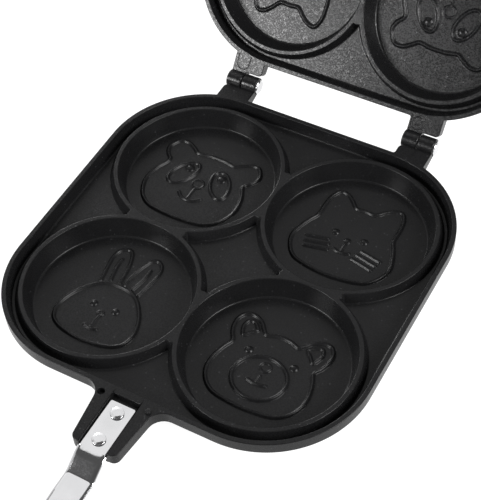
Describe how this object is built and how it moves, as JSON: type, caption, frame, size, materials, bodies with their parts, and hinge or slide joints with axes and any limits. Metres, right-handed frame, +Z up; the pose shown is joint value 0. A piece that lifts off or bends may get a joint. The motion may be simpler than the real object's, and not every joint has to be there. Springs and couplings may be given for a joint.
{
  "type": "pancake pan",
  "caption": "Hinged double pancake pan standing open: round cups in two dark cast halves, riveted steel shanks, moulded grips and a wire bail lock.",
  "frame": {"origin": "on the table under the middle of the open pan's overall box, lid leaning back on its stop and the bail lying straight out", "axes": "+Z up, +Y from the lower handle to the hinge, +X to the right seen from the handle"},
  "size_m": [0.2174, 0.7104, 0.3538],
  "materials": {
    "black_coat": "black non-stick coat, satin with fine speckle",
    "bright_steel": "bright polished steel",
    "grip_black": "black moulded heat-proof plastic, soft gloss",
    "insert_brass": "turned brass"
  },
  "bodies": {
    "lower": {"lower_plate": "black_coat", "lower_shank": "bright_steel", "lower_rivet_inner": "bright_steel", "lower_rivet_outer": "bright_steel", "lower_grip": "grip_black", "lower_screw_front": "bright_steel", "lower_screw_rear": "bright_steel", "lower_insert_front": "insert_brass", "lower_insert_rear": "insert_brass", "hinge_pin_left": "bright_steel", "hinge_pin_right": "bright_steel"},
    "lid": {"lid_plate": "black_coat", "lid_shank": "bright_steel", "lid_rivet_inner": "bright_steel", "lid_rivet_outer": "bright_steel", "lid_grip": "grip_black", "lid_screw_front": "bright_steel", "lid_screw_rear": "bright_steel", "lid_insert_front": "insert_brass", "lid_insert_rear": "insert_brass"},
    "bail": {"lock_bail": "bright_steel"}
  },
  "joints": [
    {"name": "lid_hinge", "type": "hinge", "parent": "lower", "child": "lid", "pos_m": [0, 0.0864, 0.01785], "axis": [1, 0, 0], "range_deg": [0, 127.5]},
    {"name": "bail_swing", "type": "hinge", "parent": "lower", "child": "bail", "pos_m": [0, -0.328, 0.0083], "axis": [-1, 0, 0], "range_deg": [0, 90]}
  ]
}
